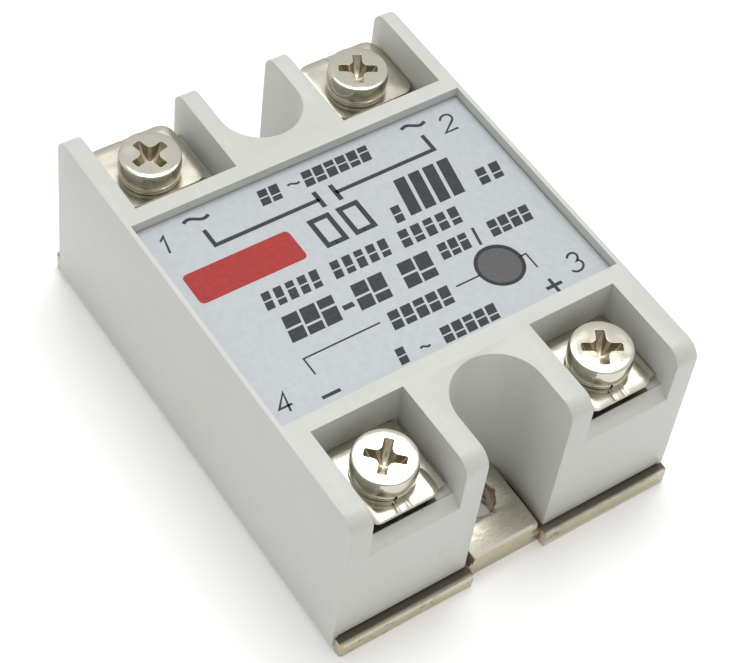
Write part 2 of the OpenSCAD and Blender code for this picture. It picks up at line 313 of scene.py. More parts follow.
@dataclass(frozen=True)
class SmokedDiffuser(Finish):
    """Smoked polycarbonate with a matt face, moulded; a grey speckled disc when unlit."""

    base: str = "303133"
    fleck: str = "434446"
    roughness: float = 0.4
    ior: float = 1.585
    fleck_mm: float = 0.3

    def paint(self, tree: Tree, place: Socket) -> Inputs:
        """Finely flecked grey.

        Args:
            tree: The material's node tree.
            place: The piece's own coordinates.

        Returns:
            What goes into the shader, by input.
        """
        noise = add_node(tree, "TexNoise", {"Vector": place, "Scale": per_m(self.fleck_mm), "Detail": 5.0})
        spread = add_node(tree, "MapRange", [noise, 0.35, 0.68])
        colour = add_node(tree, "Mix", [spread, linear(self.base), linear(self.fleck)], data_type="RGBA")
        bump = add_node(tree, "Bump", {"Strength": 0.15, "Distance": 0.03 * MM, "Height": noise})
        return {"Base Color": colour, "Roughness": self.roughness, "IOR": self.ior, "Normal": bump}


@dataclass(frozen=True)
class NickelPlate(Finish):
    """Nickel plated steel, barrel plated after forming.

    The plate has a warm tint, a bright satin face with small dents from the barrel, fine
    handling scratches and a faint olive tarnish.
    """

    base: str = "D6D1C3"
    tarnish: str = "B0A88F"
    roughness: float = 0.2
    patch_mm: float = 2.2
    dent_mm: float = 0.8
    scratch_mm: float = 0.25
    tarnish_amount: float = 0.35
    dent_strength: float = 0.12

    def paint(self, tree: Tree, place: Socket) -> Inputs:
        """Warm metal with tarnish, dents and scratches.

        Args:
            tree: The material's node tree.
            place: The piece's own coordinates.

        Returns:
            What goes into the shader, by input.
        """
        patch = add_node(tree, "TexNoise", {"Vector": place, "Scale": per_m(self.patch_mm), "Detail": 5.0})
        amount = add_node(tree, "MapRange", [patch, 0.42, 0.72, 0.0, self.tarnish_amount])
        colour = add_node(tree, "Mix", [amount, linear(self.base), linear(self.tarnish)], data_type="RGBA")
        rough = add_node(tree, "MapRange", [patch, 0.3, 0.7, self.roughness - 0.05, self.roughness + 0.1])
        drawn = add_node(tree, "Mapping", {"Vector": place, "Scale": (1.0, 0.08, 1.0), "Rotation": (0.0, 0.0, 0.5)})
        lines = add_node(tree, "TexNoise", {"Vector": drawn, "Scale": per_m(self.scratch_mm), "Detail": 3.0})
        dents = add_node(tree, "TexNoise", {"Vector": place, "Scale": per_m(self.dent_mm), "Detail": 2.0})
        wavy = add_node(tree, "Bump", {"Strength": self.dent_strength, "Distance": 0.06 * MM, "Height": dents})
        bump = add_node(tree, "Bump", {"Strength": 0.12, "Distance": 0.01 * MM, "Height": lines, "Normal": wavy})
        return {"Base Color": colour, "Metallic": 1.0, "Roughness": rough, "Normal": bump}


@dataclass(frozen=True)
class YellowedZincSheet(Finish):
    """Sheet steel with a yellow-passivated zinc coat, sheared and stamped.

    It shows a sandy grain, rubbed edges with a painted highlight, painted shade and some dirt along
    the foot of the housing, side faces painted yellower as a reflection, and rust where the shear
    and the punch broke the coat.
    """

    base: str = "DFDBCD"
    shade: str = "B9B4A5"
    # painted reflection, mixed onto the steep side faces
    yellow: str = "BDB38A"
    # edge wear with a painted highlight on the rounded edges
    rubbed_and_highlight: str = "F0EDE2"
    # painted shade with some dirt, on the plate's top face next to the housing's foot
    foot_shade_and_dirt: str = "4E493B"
    rust: str = "7A4526"
    roughness: float = 0.38
    grain_mm: float = 0.22
    pit_mm: float = 1.1
    hole_y_mm: float = 23.8
    hole_r_mm: float = 2.5
    edge_y_mm: float = 31.2
    foot_y_mm: float = 29.9
    cut_x_mm: float = 4.9
    cut_y_mm: float = 30.0

    def near_point(self, tree: Tree, across: Socket, along: Socket, at: Point2, reach: Point2) -> bpy.types.Node:
        """Mask that is 1 at a point of the plan and falls to 0 around it.

        Args:
            tree: The node tree it goes into.
            across: Distance from the middle line.
            along: Distance from the middle of the plate's length.
            at: The point in millimetres.
            reach: Distance with the full mask and distance where it ends, in millimetres.

        Returns:
            The mask's last node.
        """
        dx = add_node(tree, "Math", [across, at[0] * MM], operation="SUBTRACT")
        dy = add_node(tree, "Math", [along, at[1] * MM], operation="SUBTRACT")
        flat = add_node(tree, "CombineXYZ", [dx, dy])
        away = add_node(tree, "VectorMath", [flat], operation="LENGTH")
        return add_node(tree, "MapRange", [away, reach[0] * MM, reach[1] * MM, 1.0, 0.0])

    def paint_rust(self, tree: Tree, place: Socket, across: Socket, along: Socket) -> bpy.types.Node:
        """Mask of the rust: pits round the holes, in the corner cuts and along the sheared ends.

        Args:
            tree: The node tree it goes into.
            place: The plate's own coordinates.
            across: Distance from the middle line.
            along: Distance from the middle of the plate's length.

        Returns:
            The mask's last node.
        """
        hole = (self.hole_r_mm + 0.05, self.hole_r_mm + 0.65)
        at_hole = self.near_point(tree, across, along, (0.0, self.hole_y_mm), hole)
        at_cut = self.near_point(tree, across, along, (self.cut_x_mm, self.cut_y_mm), (0.5, 1.7))
        at_end = add_node(tree, "MapRange", [along, (self.edge_y_mm - 0.3) * MM, self.edge_y_mm * MM, 0.0, 0.1])
        cuts = add_node(tree, "Math", [at_hole, at_cut], operation="MAXIMUM")
        broken = add_node(tree, "Math", [cuts, 0.26, at_end], operation="MULTIPLY_ADD")
        pit = add_node(tree, "TexNoise", {"Vector": place, "Scale": per_m(self.pit_mm), "Detail": 7.0})
        rusty = add_node(tree, "Math", [pit, broken], operation="ADD")
        return add_node(tree, "MapRange", [rusty, 0.72, 0.86, 0.0, 0.85])

    def paint(self, tree: Tree, place: Socket) -> Inputs:
        """Grained metal, painted highlight on rubbed edges, painted shade and dirt at the housing's foot, rust at the
        cuts.

        Args:
            tree: The material's node tree.
            place: The piece's own coordinates.

        Returns:
            What goes into the shader, by input.
        """
        rolled = add_node(tree, "Mapping", {"Vector": place, "Scale": (0.25, 1.0, 1.0)})
        streaks = add_node(tree, "TexNoise", {"Vector": rolled, "Scale": per_m(self.grain_mm * 1.5), "Detail": 4.0})
        speckle = {"Vector": place, "Scale": per_m(self.grain_mm), "Detail": 6.0, "Roughness": 0.7}
        grain = add_node(tree, "TexNoise", speckle)
        sand = add_node(tree, "Mix", [0.3, grain, streaks])
        level = add_node(tree, "MapRange", [sand, 0.36, 0.66])
        metal = add_node(tree, "Mix", [level, linear(self.base), linear(self.shade)], data_type="RGBA")
        facing = add_node(tree, "SeparateXYZ", [add_node(tree, "NewGeometry").outputs["Normal"]]).outputs["Z"]
        lying = add_node(tree, "Math", [facing, facing], operation="MULTIPLY")
        steep = add_node(tree, "Math", [1.0, lying], operation="SUBTRACT")
        # Steep faces are painted yellower than the top: a painted reflection.
        tint = add_node(tree, "MapRange", [steep, 0.02, 0.6, 0.0, 0.55])
        side_reflected = add_node(tree, "Mix", [tint, metal, linear(self.yellow)], data_type="RGBA")
        # Brightens faces that slope near 45 degrees, the rounded edges: wear with a painted highlight.
        slanted = add_node(tree, "Math", [lying, steep], operation="MULTIPLY")
        worn_and_highlit = add_node(tree, "MapRange", [slanted, 0.08, 0.25, 0.0, 0.8])
        bright = add_node(tree, "Mix", [worn_and_highlit, side_reflected, linear(self.rubbed_and_highlight)], data_type="RGBA")
        axes = add_node(tree, "SeparateXYZ", [place])
        along = add_node(tree, "Math", [axes.outputs["Y"]], operation="ABSOLUTE").outputs[0]
        across = add_node(tree, "Math", [axes.outputs["X"]], operation="ABSOLUTE").outputs[0]
        # Darkens the plate's top face next to the housing's foot: painted shade, with some dirt.
        foot_mark_end_y = self.foot_y_mm + 1.2
        foot = add_node(tree, "MapRange", [along, (foot_mark_end_y - 0.4) * MM, foot_mark_end_y * MM, 0.92, 0.0])
        outside = add_node(tree, "Math", [across, (self.cut_x_mm + 0.1) * MM], operation="GREATER_THAN")
        top_face = add_node(tree, "Math", [outside, lying], operation="MULTIPLY")
        foot_shade_and_dirt_mask = add_node(tree, "Math", [foot, top_face], operation="MULTIPLY")
        foot_darkened = add_node(tree, "Mix", [foot_shade_and_dirt_mask, bright, linear(self.foot_shade_and_dirt)], data_type="RGBA")
        rust = self.paint_rust(tree, place, across, along)
        return {
            "Base Color": add_node(tree, "Mix", [rust, foot_darkened, linear(self.rust)], data_type="RGBA"),
            "Metallic": add_node(tree, "MapRange", [rust, 0.0, 1.0, 0.8, 0.1]),
            "Roughness": add_node(tree, "MapRange", [sand, 0.36, 0.66, self.roughness - 0.08, self.roughness + 0.16]),
            "Normal": add_node(tree, "Bump", {"Strength": 0.5, "Distance": 0.03 * MM, "Height": sand}),
        }


@dataclass(frozen=True)
class CastResin(Finish):
    """Poured or moulded resin: epoxy fill, packages and lacquered bodies.

    A fine filler gives it a slight mottle and an uneven sheen.
    """

    base: str = "2B2B2D"
    mottle: str = "39393B"
    roughness: float = 0.45
    ior: float = 1.5
    filler_mm: float = 0.35

    def paint(self, tree: Tree, place: Socket) -> Inputs:
        """Mottled body with a rough grain.

        Args:
            tree: The material's node tree.
            place: The piece's own coordinates.

        Returns:
            What goes into the shader, by input.
        """
        noise = add_node(tree, "TexNoise", {"Vector": place, "Scale": per_m(self.filler_mm), "Detail": 5.0})
        colour = add_node(tree, "Mix", [noise, linear(self.base), linear(self.mottle)], data_type="RGBA")
        rough = add_node(tree, "MapRange", [noise, 0.0, 1.0, self.roughness - 0.1, self.roughness + 0.1])
        bump = add_node(tree, "Bump", {"Strength": 0.2, "Distance": 0.03 * MM, "Height": noise})
        return {"Base Color": colour, "Roughness": rough, "IOR": self.ior, "Normal": bump}


@dataclass(frozen=True)
class BandedLacquer(Finish):
    """Axial part with a lacquered or glass body and painted rings, measured along X from its middle."""

    body: str = "C9B48C"
    rings: tuple[str, ...] = ("7A3B1E", "1F1F1F", "A02A22", "B98A2E")
    wire: str = "C8C6C0"
    centre_mm: float = 0.0
    length_mm: float = 6.0
    tone_mm: float = 0.4
    roughness: float = 0.28

    def paint(self, tree: Tree, place: Socket) -> Inputs:
        """Rings across the body, plain tinned wire beyond its ends.

        Args:
            tree: The material's node tree.
            place: The piece's own coordinates.

        Returns:
            What goes into the shader, by input.
        """
        axes = add_node(tree, "SeparateXYZ", [place])
        centre, half = self.centre_mm * MM, self.length_mm / 2 * MM
        along = add_node(tree, "MapRange", [axes, centre - half, centre + half])
        stops = [(0.0, linear(self.wire)), (0.01, linear(self.body))]
        for i, ring in enumerate(self.rings):
            start = 0.18 + i * 0.62 / max(len(self.rings) - 1, 1)
            stops += [(start, linear(ring)), (start + 0.07, linear(self.body))]
        stops.append((0.99, linear(self.wire)))
        bands = add_node(tree, "ValToRGB", [along])
        bands.color_ramp.interpolation = "CONSTANT"
        ramp_stops(bands, stops)
        noise = add_node(tree, "TexNoise", {"Vector": place, "Scale": per_m(self.tone_mm), "Detail": 4.0})
        tone = add_node(tree, "MapRange", [noise, 0.0, 1.0, 0.85, 1.1])
        toned = add_node(tree, "Mix", [1.0, bands, tone], data_type="RGBA", blend_type="MULTIPLY")
        return {"Base Color": toned, "Roughness": self.roughness}


@dataclass(frozen=True)
class MaskedLaminate(Finish):
    """Glass epoxy board with green solder mask; buried copper shows as paler, raised tracks."""

    mask: str = "1F5C36"
    track: str = "3C7F4C"
    roughness: float = 0.32
    track_mm: float = 3.2

    def paint(self, tree: Tree, place: Socket) -> Inputs:
        """Tracks as the raised borders of square cells.

        Args:
            tree: The material's node tree.
            place: The piece's own coordinates.

        Returns:
            What goes into the shader, by input.
        """
        grid = {"Vector": place, "Scale": per_m(self.track_mm), "Randomness": 0.6}
        cells = add_node(tree, "TexVoronoi", grid, distance="CHEBYCHEV", feature="F1")
        copper = add_node(tree, "MapRange", [cells, 0.3, 0.34])
        colour = add_node(tree, "Mix", [copper, linear(self.mask), linear(self.track)], data_type="RGBA")
        bump = add_node(tree, "Bump", {"Strength": 0.4, "Distance": 0.04 * MM, "Height": copper})
        return {"Base Color": colour, "Roughness": self.roughness, "Normal": bump}


@dataclass(frozen=True)
class DrawnCopper(Finish):
    """Bare copper strip, rolled and cut, with darker oxide clouds."""

    base: str = "C57B52"
    oxide: str = "8A4A30"
    roughness: float = 0.3
    cloud_mm: float = 2.5
    line_mm: float = 0.2

    def paint(self, tree: Tree, place: Socket) -> Inputs:
        """Clouded copper with rolled lines.

        Args:
            tree: The material's node tree.
            place: The piece's own coordinates.

        Returns:
            What goes into the shader, by input.
        """
        cloud = add_node(tree, "TexNoise", {"Vector": place, "Scale": per_m(self.cloud_mm), "Detail": 5.0})
        colour = add_node(tree, "Mix", [cloud, linear(self.base), linear(self.oxide)], data_type="RGBA")
        rolled = add_node(tree, "Mapping", {"Vector": place, "Scale": (1.0, 0.1, 1.0)})
        lines = add_node(tree, "TexNoise", {"Vector": rolled, "Scale": per_m(self.line_mm), "Detail": 2.0})
        bump = add_node(tree, "Bump", {"Strength": 0.2, "Distance": 0.02 * MM, "Height": lines})
        return {"Base Color": colour, "Metallic": 1.0, "Roughness": self.roughness, "Normal": bump}


@dataclass(frozen=True)
class MattPaper(Finish):
    """White translucent table top, lit softly from below, with a very faint tooth."""

    base: str = "FFFFFF"
    glow: float = 0.13
    roughness: float = 0.75
    tooth_mm: float = 0.8

    def paint(self, tree: Tree, place: Socket) -> Inputs:
        """Plain white with a faint tooth.

        Args:
            tree: The material's node tree.
            place: The piece's own coordinates.

        Returns:
            What goes into the shader, by input.
        """
        tooth = add_node(tree, "TexNoise", {"Vector": place, "Scale": per_m(self.tooth_mm), "Detail": 2.0})
        white = linear(self.base)
        return {
            "Base Color": white,
            "Roughness": self.roughness,
            "Emission Color": white,
            "Emission Strength": self.glow,
            "Normal": add_node(tree, "Bump", {"Strength": 0.03, "Distance": 0.05 * MM, "Height": tooth}),
        }


def make_object(name: str, mesh: Mesh, finishes: Sequence[Finish], sharp_deg: float = 34.0) -> Piece:
    """Turn a bmesh into a linked object, smooth shaded between sharp edges.

    Args:
        name: Name of the object and its mesh.
        mesh: The bmesh, in metres; it is freed.
        finishes: Finishes for its material slots.
        sharp_deg: Edges that turn more than this stay sharp.

    Returns:
        The new object.
    """
    bmesh.ops.recalc_face_normals(mesh, faces=mesh.faces)
    for face in mesh.faces:
        face.smooth = True
    for edge in mesh.edges:
        edge.smooth = len(edge.link_faces) == 2 and edge.calc_face_angle(0.0) < math.radians(sharp_deg)
    data = bpy.data.meshes.new(name)
    mesh.to_mesh(data)
    mesh.free()
    for finish in finishes:
        data.materials.append(finish.material())
    made = bpy.data.objects.new(name, data)
    bpy.context.scene.collection.objects.link(made)
    return made


def corners(mesh: Mesh, points: Iterable[tuple[float, float, float]]) -> Corners:
    """Add loose corners, given in millimetres, and return them in order."""
    return [mesh.verts.new((x * MM, y * MM, z * MM)) for x, y, z in points]


def skin(mesh: Mesh, rows: Sequence[Corners]) -> None:
    """Join each closed row of corners to the next with four-sided faces.

    Args:
        mesh: The bmesh that holds the corners.
        rows: Rows of equal length.
    """
    for a, b in zip(rows, rows[1:]):
        for k in range(len(a)):
            n = (k + 1) % len(a)
            mesh.faces.new((a[k], a[n], b[n], b[k]))


def round_point(r: float, angle: float, z: float) -> tuple[float, float, float]:
    """Point at a radius, an angle in radians and a height."""
    return (r * math.cos(angle), r * math.sin(angle), z)


def circle(r: float, z: float, around: int) -> list[tuple[float, float, float]]:
    """Evenly spaced points round Z at one radius and height."""
    return [round_point(r, TURN * k / around, z) for k in range(around)]


def prism(mesh: Mesh, outline: Sequence[Point2], low: float, high: float) -> None:
    """Add an upright prism over a flat outline.

    Args:
        mesh: The bmesh it goes into.
        outline: Corners in millimetres.
        low: Height of its foot in millimetres.
        high: Height of its top in millimetres.
    """
    rows = [corners(mesh, ((x, y, z) for x, y in outline)) for z in (low, high)]
    mesh.faces.new(rows[1])
    mesh.faces.new(reversed(rows[0]))
    skin(mesh, rows)


def ribbon(mesh: Mesh, path: Sequence[Point2], width: float, low: float, high: float) -> None:
    """Add a flat ribbon of one width along an open path, with mitred corners.

    Args:
        mesh: The bmesh it goes into.
        path: Points of its middle line in millimetres.
        width: Its width in millimetres.
        low: Height of its underside in millimetres.
        high: Height of its top in millimetres.
    """
    points = [Vector(p) for p in path]
    steps = [(b - a).normalized() for a, b in zip(points, points[1:])]
    rows: list[Corners] = []
    for i, point in enumerate(points):
        before, after = steps[max(i - 1, 0)], steps[min(i, len(steps) - 1)]
        across = Vector((-(before + after).y, (before + after).x)).normalized()
        reach = min(1 / max(across.dot(Vector((-after.y, after.x))), 0.3), 2.2) * width / 2
        left, right = point + across * reach, point - across * reach
        rows.append(corners(mesh, ((*left, low), (*right, low), (*right, high), (*left, high))))
    skin(mesh, rows)
    mesh.faces.new(reversed(rows[0]))
    mesh.faces.new(rows[-1])


def lathe(mesh: Mesh, profile: Sequence[Point2], around: int = 96) -> None:
    """Add a solid turned round Z from a half profile whose ends lie on the axis.

    Args:
        mesh: The bmesh it goes into.
        profile: Radius and height of each point in millimetres; the first and last radius are 0.
        around: Number of steps round the axis.
    """
    foot, tip = corners(mesh, ((0, 0, profile[k][1]) for k in (0, -1)))
    rows = [corners(mesh, circle(r, z, around)) for r, z in profile[1:-1]]
    for k in range(around):
        n = (k + 1) % around
        mesh.faces.new((foot, rows[0][n], rows[0][k]))
        mesh.faces.new((tip, rows[-1][k], rows[-1][n]))
    skin(mesh, rows)


def arc(
    cx: float, cy: float, r: float, start_deg: float, stop_deg: float, steps: int, squash: float = 1.0
) -> list[Point2]:
    """List points along an arc of a circle, or of an ellipse squashed in Y.

    Args:
        cx: X of the centre in millimetres.
        cy: Y of the centre in millimetres.
        r: Radius in millimetres.
        start_deg: Angle of the first point.
        stop_deg: Angle of the last point.
        steps: Number of steps between the two.
        squash: Height of the ellipse over its width.

    Returns:
        The points in order.
    """
    angles = [math.radians(start_deg + (stop_deg - start_deg) * k / steps) for k in range(steps + 1)]
    return [(cx + r * math.cos(a), cy + r * squash * math.sin(a)) for a in angles]


def cut(target: Piece, tool: Piece) -> None:
    """Cut a tool out of a piece and remove the tool.

    Args:
        target: The piece that is cut.
        tool: The closed shape that is taken away.
    """
    boolean = target.modifiers.new("cut", "BOOLEAN")
    boolean.operation, boolean.solver, boolean.object = "DIFFERENCE", "EXACT", tool
    graph = bpy.context.evaluated_depsgraph_get()
    shape = target.evaluated_get(graph)
    left = bpy.data.meshes.new_from_object(shape, preserve_all_data_layers=True, depsgraph=graph)
    target.modifiers.remove(boolean)
    target.data = left
    bpy.data.objects.remove(tool)


def ease_edges(piece: Piece, width_mm: float, steps: int, angle_deg: float = 30.0) -> None:
    """Round a piece's sharp edges with a bevel that keeps flat faces flat.

    Args:
        piece: The object that gets the bevel.
        width_mm: Width of the bevel in millimetres.
        steps: Segments across the bevel.
        angle_deg: Edges that turn less than this stay as they are.
    """
    bevel = piece.modifiers.new("eased_edges", "BEVEL")
    bevel.width, bevel.segments = width_mm * MM, steps
    bevel.limit_method, bevel.angle_limit = "ANGLE", math.radians(angle_deg)
    bevel.use_clamp_overlap = True
    bevel.harden_normals = True
    for face in piece.data.polygons:
        face.use_smooth = True


def dress(piece: Piece, finish: Finish) -> None:
    """Put one finish on every material slot of a piece.

    Args:
        piece: The piece.
        finish: Its finish.
    """
    if not piece.data.materials:
        piece.data.materials.append(finish.material())
    for slot in piece.material_slots:
        slot.material = finish.material()


def dress_frame_node(piece: Piece, finish: Finish, width_mm: float, steps: int = 2, angle_deg: float = 30.0) -> None:
    """Join a frame node's split corners and flat triangles, ease its edges and give it a finish.

    Args:
        piece: The frame node's object.
        finish: Its finish.
        width_mm: Width of the eased edges in millimetres; 0 leaves them sharp.
        steps: Segments across the eased edges.
        angle_deg: Edges that turn less than this stay as they are.
    """
    weld = piece.modifiers.new("joined", "WELD")
    weld.merge_threshold = 0.002 * MM
    flat = piece.modifiers.new("flat_faces", "DECIMATE")
    flat.decimate_type, flat.angle_limit = "DISSOLVE", math.radians(0.6)
    even = piece.modifiers.new("even_triangles", "TRIANGULATE")
    even.ngon_method = "BEAUTY"
    if width_mm:
        ease_edges(piece, width_mm, steps, angle_deg)
    dress(piece, finish)


@dataclass
class Housing:
    """Moulded cover with four terminal pockets, two mounting notches and the label recess."""

    nodes: Nodes
    edge_mm: float = 0.45
    plastic: Finish = MouldedPBT("moulded_pbt_light_grey")
    seal: Finish = CastResin("adhesive_line", base="24221F", mottle="3A362F", roughness=0.6)

    def dress(self) -> None:
        """Round the moulding's edges and give it its plastic."""
        dress_frame_node(self.nodes["housing"], self.plastic, self.edge_mm, steps=3, angle_deg=28)
        dress(self.nodes["bond_seal"], self.seal)
        LOG.info("housing and its adhesive line dressed")


@dataclass
class BasePlate:
    """Stamped steel plate that carries the heat into the heatsink."""

    nodes: Nodes
    edge_mm: float = 0.24
    steel: Finish = YellowedZincSheet("yellow_zinc_sheet_steel")

    def dress(self) -> None:
        """Soften the sheared edges and give the plate its zinc."""
        dress_frame_node(self.nodes["base_plate"], self.steel, self.edge_mm, angle_deg=28)
        LOG.info("base plate dressed")


@dataclass
class LabelPanel:
    """Pressed-on panel with the printed terminal numbers, signs and circuit lines."""

    nodes: Nodes
    ink_mm: float = 0.02
    slant: float = 0.21
    foil: Finish = MattFoil("matt_metallised_film")
    ink: Finish = ScreenInk("dark_screen_ink")
    red: Finish = ScreenInk("red_screen_ink", base="A5211C", thin="B23029")
    # Terminal number, then left, foot, width and height of its box
    numbers: ClassVar[Rows] = (
        (1, -20.25, 10.15, 1.55, 2.4),
        (2, 17.25, 10.15, 1.8, 2.45),
        (3, 17.6, -14.0, 1.7, 2.5),
        (4, -20.5, -14.1, 1.5, 2.4),
    )
    # Strokes of each number in a box 1 wide and 1.5 high
    strokes: ClassVar[dict[int, list[Point2]]] = {
        1: [(0.18, 1.16), (0.52, 1.5), (0.52, 0.0)],
        2: arc(0.5, 1.04, 0.45, 165, -28, 12) + [(0.02, 0.0), (1.0, 0.0)],
        3: arc(0.47, 1.11, 0.4, 160, -72, 12, 0.97) + arc(0.47, 0.41, 0.5, 62, -158, 14, 0.86),
        4: [(0.74, 0.0), (0.74, 1.5), (0.0, 0.46), (1.05, 0.46)],
    }
    # Line width, then the line's path: circuit lines, minus, plus in three strokes, dash, divider
    lines: ClassVar[tuple[tuple[float, tuple[Point2, ...]], ...]] = (
        (0.2, ((-14.65, -11.4), (-14.65, -9.1), (-4.95, -9.1))),
        (0.2, ((5.1, -9.1), (8.3, -9.1))),
        (0.2, ((13.8, -9.1), (14.6, -9.1), (14.6, -11.3))),
        (0.42, ((-15.7, -14.35), (-13.45, -14.35))),
        (0.42, ((13.6, -14.3), (15.7, -14.3))),
        (0.42, ((14.65, -15.35), (14.65, -14.51))),
        (0.42, ((14.65, -14.09), (14.65, -13.25))),
        (0.65, ((-7.3, -5.55), (-5.95, -5.55))),
        (0.34, ((11.0, -5.6), (11.525, -3.1))),
    )
    # Middle, half width, rise, line width and half its steps of each wave sign
    waves: ClassVar[Rows] = (
        (-14.55, 12.95, 1.55, 0.33, 0.42, 9),
        (14.55, 12.95, 1.55, 0.33, 0.42, 9),
        (-2.35, 12.1, 0.75, 0.14, 0.26, 6),
        (-2.5, -14.15, 0.6, 0.14, 0.26, 6),
    )
    # Left, right, foot, top, number of blocks and gap of each run that stands in for a word
    words: ClassVar[Rows] = (
        (-7.1, -4.0, 10.9, 13.1, 2, 0.28),
        (-1.3, 8.0, 10.9, 13.1, 6, 0.28),
        (-14.5, -6.9, -1.85, 0.5, 5, 0.5),
        (-5.7, 2.1, -1.85, 0.5, 5, 0.5),
        (3.3, 11.7, -1.85, 0.5, 5, 0.5),
        (-14.5, -7.4, -6.8, -3.3, 3, 0.3),
        (-5.7, -0.9, -6.8, -3.3, 2, 0.3),
        (0.4, 5.2, -6.8, -3.3, 2, 0.3),
        (6.1, 10.4, -5.4, -3.2, 3, 0.3),
        (12.9, 18.9, -5.4, -3.2, 4, 0.3),
        (-4.1, 4.3, -10.8, -8.4, 5, 0.34),
        (-6.1, -4.6, -15.0, -12.9, 1, 0.3),
        (-0.3, 7.3, -15.0, -12.9, 5, 0.3),
        (4.6, 6.2, 1.5, 3.8, 1, 0.3),
        (16.3, 19.9, 1.5, 3.8, 2, 0.6),
    )

    @property
    def low(self) -> float:
        """Height of the print's underside, a little inside the film."""
        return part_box("label_panel")[1].z / MM - 0.01

    @property
    def high(self) -> float:
        """Height of the print's face."""
        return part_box("label_panel")[1].z / MM + self.ink_mm

    def slanted(self, points: Iterable[Point2], foot: float) -> list[Point2]:
        """Lean points to the right with height above foot, as italic print does."""
        return [(x + (y - foot) * self.slant, y) for x, y in points]

    def line(self, mesh: Mesh, path: Sequence[Point2], width: float) -> None:
        """Add one printed line."""
        ribbon(mesh, path, width, self.low, self.high)

    def bar(self, mesh: Mesh, left: float, right: float, low: float, high: float, foot: float) -> None:
        """Add one slanted bar that leans from the height foot."""
        outline = [(left, low), (right, low), (right, high), (left, high)]
        prism(mesh, self.slanted(outline, foot), self.low, self.high)

    def blocks(self, mesh: Mesh, x0: float, x1: float, y0: float, y1: float, count: int, gap: float) -> None:
        """Add a run of plain slanted blocks that stands in for a printed word.

        Args:
            mesh: The bmesh it goes into.
            x0: Left end of the run in millimetres.
            x1: Right end of the run in millimetres.
            y0: Foot of the run in millimetres.
            y1: Top of the run in millimetres.
            count: Number of blocks.
            gap: Space between two blocks in millimetres.
        """
        wide = (x1 - x0 - (y1 - y0) * self.slant - gap * (count - 1)) / count
        slit = (y1 - y0) * 0.045
        for k in range(count):
            left = x0 + k * (wide + gap)
            middle = y0 + (y1 - y0) * (0.5, 0.36, 0.62)[k % 3]
            self.bar(mesh, left, left + wide, y0, middle - slit, y0)
            self.bar(mesh, left, left + wide, middle + slit, y1, y0)

    def build_print(self) -> Piece:
        """Build the dark print: numbers, signs, circuit lines and plain word blocks.

        Returns:
            The print as one object.
        """
        mesh = bmesh.new()
        for number, x, y, wide, high in self.numbers:
            placed = [(x + px * wide, y + py * high / 1.5) for px, py in self.strokes[number]]
            self.line(mesh, self.slanted(placed, y), 0.27)
        for sign in (-1, 1):
            self.line(mesh, [(sign * 14.6, 11.15), (sign * 14.6, 8.7), (sign * 1.1, 8.7)], 0.5)
            self.line(mesh, [(sign * 1.1, 7.5), (sign * 1.1, 9.95)], 0.58)
        for width, path in self.lines:
            self.line(mesh, path, width)
        for x, y, half, rise, width, steps in self.waves:
            swing = [k / steps - 1 for k in range(2 * steps + 1)]
            self.line(mesh, [(x + t * half, y + rise * math.sin(-t * 2.9)) for t in swing], width)
        for word in self.words:
            self.blocks(mesh, *word)
        low, high = 2.62, 6.38
        for x in (-4.15, -0.35):
            frame = [(1.4, low), (0.3, low), (0.3, high), (2.6, high), (2.6, low), (1.3, low)]
            self.line(mesh, [(x + dx, y) for dx, y in frame], 0.62)
        for k in range(4):
            left = 6.6 + k * 1.98
            self.bar(mesh, left, left + 1.5, 1.7, 7.0, 1.7)
        return make_object("label_print", mesh, [self.ink])

    def build_block(self) -> Piece:
        """Build the plain red block at the left of the panel.

        Returns:
            The block as one object.
        """
        mesh = bmesh.new()
        x0, x1, y0, y1, r = -20.15, -6.65, 2.3, 6.7, 0.6
        outline = arc(x1 - r, y1 - r, r, 0, 90, 5) + arc(x0 + r, y1 - r, r, 90, 180, 5)
        outline += arc(x0 + r, y0 + r, r, 180, 270, 5) + arc(x1 - r, y0 + r, r, 270, 360, 5)
        prism(mesh, outline, self.low, self.high)
        return make_object("label_red_block", mesh, [self.red])

    def build(self) -> None:
        """Give the panel its film, build the print and set it on the relay's body."""
        dress(self.nodes["label_panel"], self.foil)
        for piece in (self.build_print(), self.build_block()):
            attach(piece, "relay_body")
            LOG.info("built %s", piece.name)


@dataclass
class StatusIndicator:
    """Smoked round window over the status lamp, with the dark ring printed round it."""

    nodes: Nodes
    ring_in_mm: float = 2.5
    ring_out_mm: float = 2.92
    smoked: Finish = SmokedDiffuser("smoked_polycarbonate")
    ring_ink: Finish = ScreenInk("window_ring_ink", base="1C1D1F", thin="27282A")
    lamp: Finish = CastResin("red_lamp_resin", base="A8231C", mottle="C23A30", roughness=0.2)

    def build(self) -> None:
        """Give the window and the lamp their plastics, and build the ring round the window."""
        dress(self.nodes["status_window"], self.smoked)
        dress(self.nodes["status_led"], self.lamp)
        low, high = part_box("status_window")
        centre = (low + high) / 2 / MM
        top = max(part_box("label_panel")[1].z, high.z) / MM
        mesh = bmesh.new()
        sunk, proud = -0.01, 0.02
        outer, inner = self.ring_out_mm, self.ring_in_mm
        section = [(outer, sunk), (outer, proud), (inner, proud), (inner, sunk)]
        rows = [
            corners(mesh, ((centre.x + x, centre.y + y, top + up) for x, y, up in circle(r, z, 72))) for r, z in section
        ]
        skin(mesh, rows + rows[:1])
        ring = make_object("status_window_ring", mesh, [self.ring_ink])
        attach(ring, "relay_body")
        LOG.info("built %s", ring.name)


